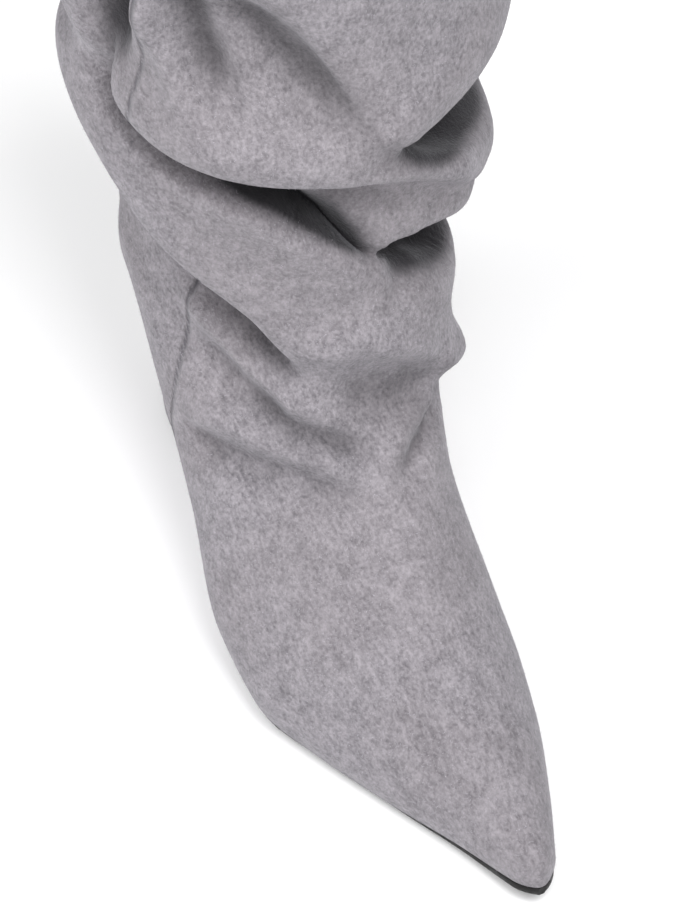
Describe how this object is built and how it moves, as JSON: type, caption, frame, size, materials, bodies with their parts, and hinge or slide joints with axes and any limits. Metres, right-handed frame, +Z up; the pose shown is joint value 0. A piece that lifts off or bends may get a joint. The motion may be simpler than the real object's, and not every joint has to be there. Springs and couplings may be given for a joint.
{
  "type": "wedge ankle boot",
  "caption": "Pointed slouch ankle boot with a soft, wide felt shaft in folds over a hidden felt-covered wedge and a thin flat sole, open at the collar.",
  "frame": {"origin": "on the floor, on the outsole's flat underside, under the middle of the heel seat", "axes": "+X to the toe, +Y to the medial side, +Z up"},
  "size_m": [0.2638, 0.1312, 0.268],
  "materials": {
    "upper": "felted wool, matt",
    "outsole": "smooth, dull",
    "wedge": "felted wool cover, matt",
    "insole": "plain sock, matt"
  },
  "bodies": {
    "root": {"upper": "upper", "outsole": "outsole", "wedge": "wedge", "insole": "insole"}
  },
  "joints": []
}
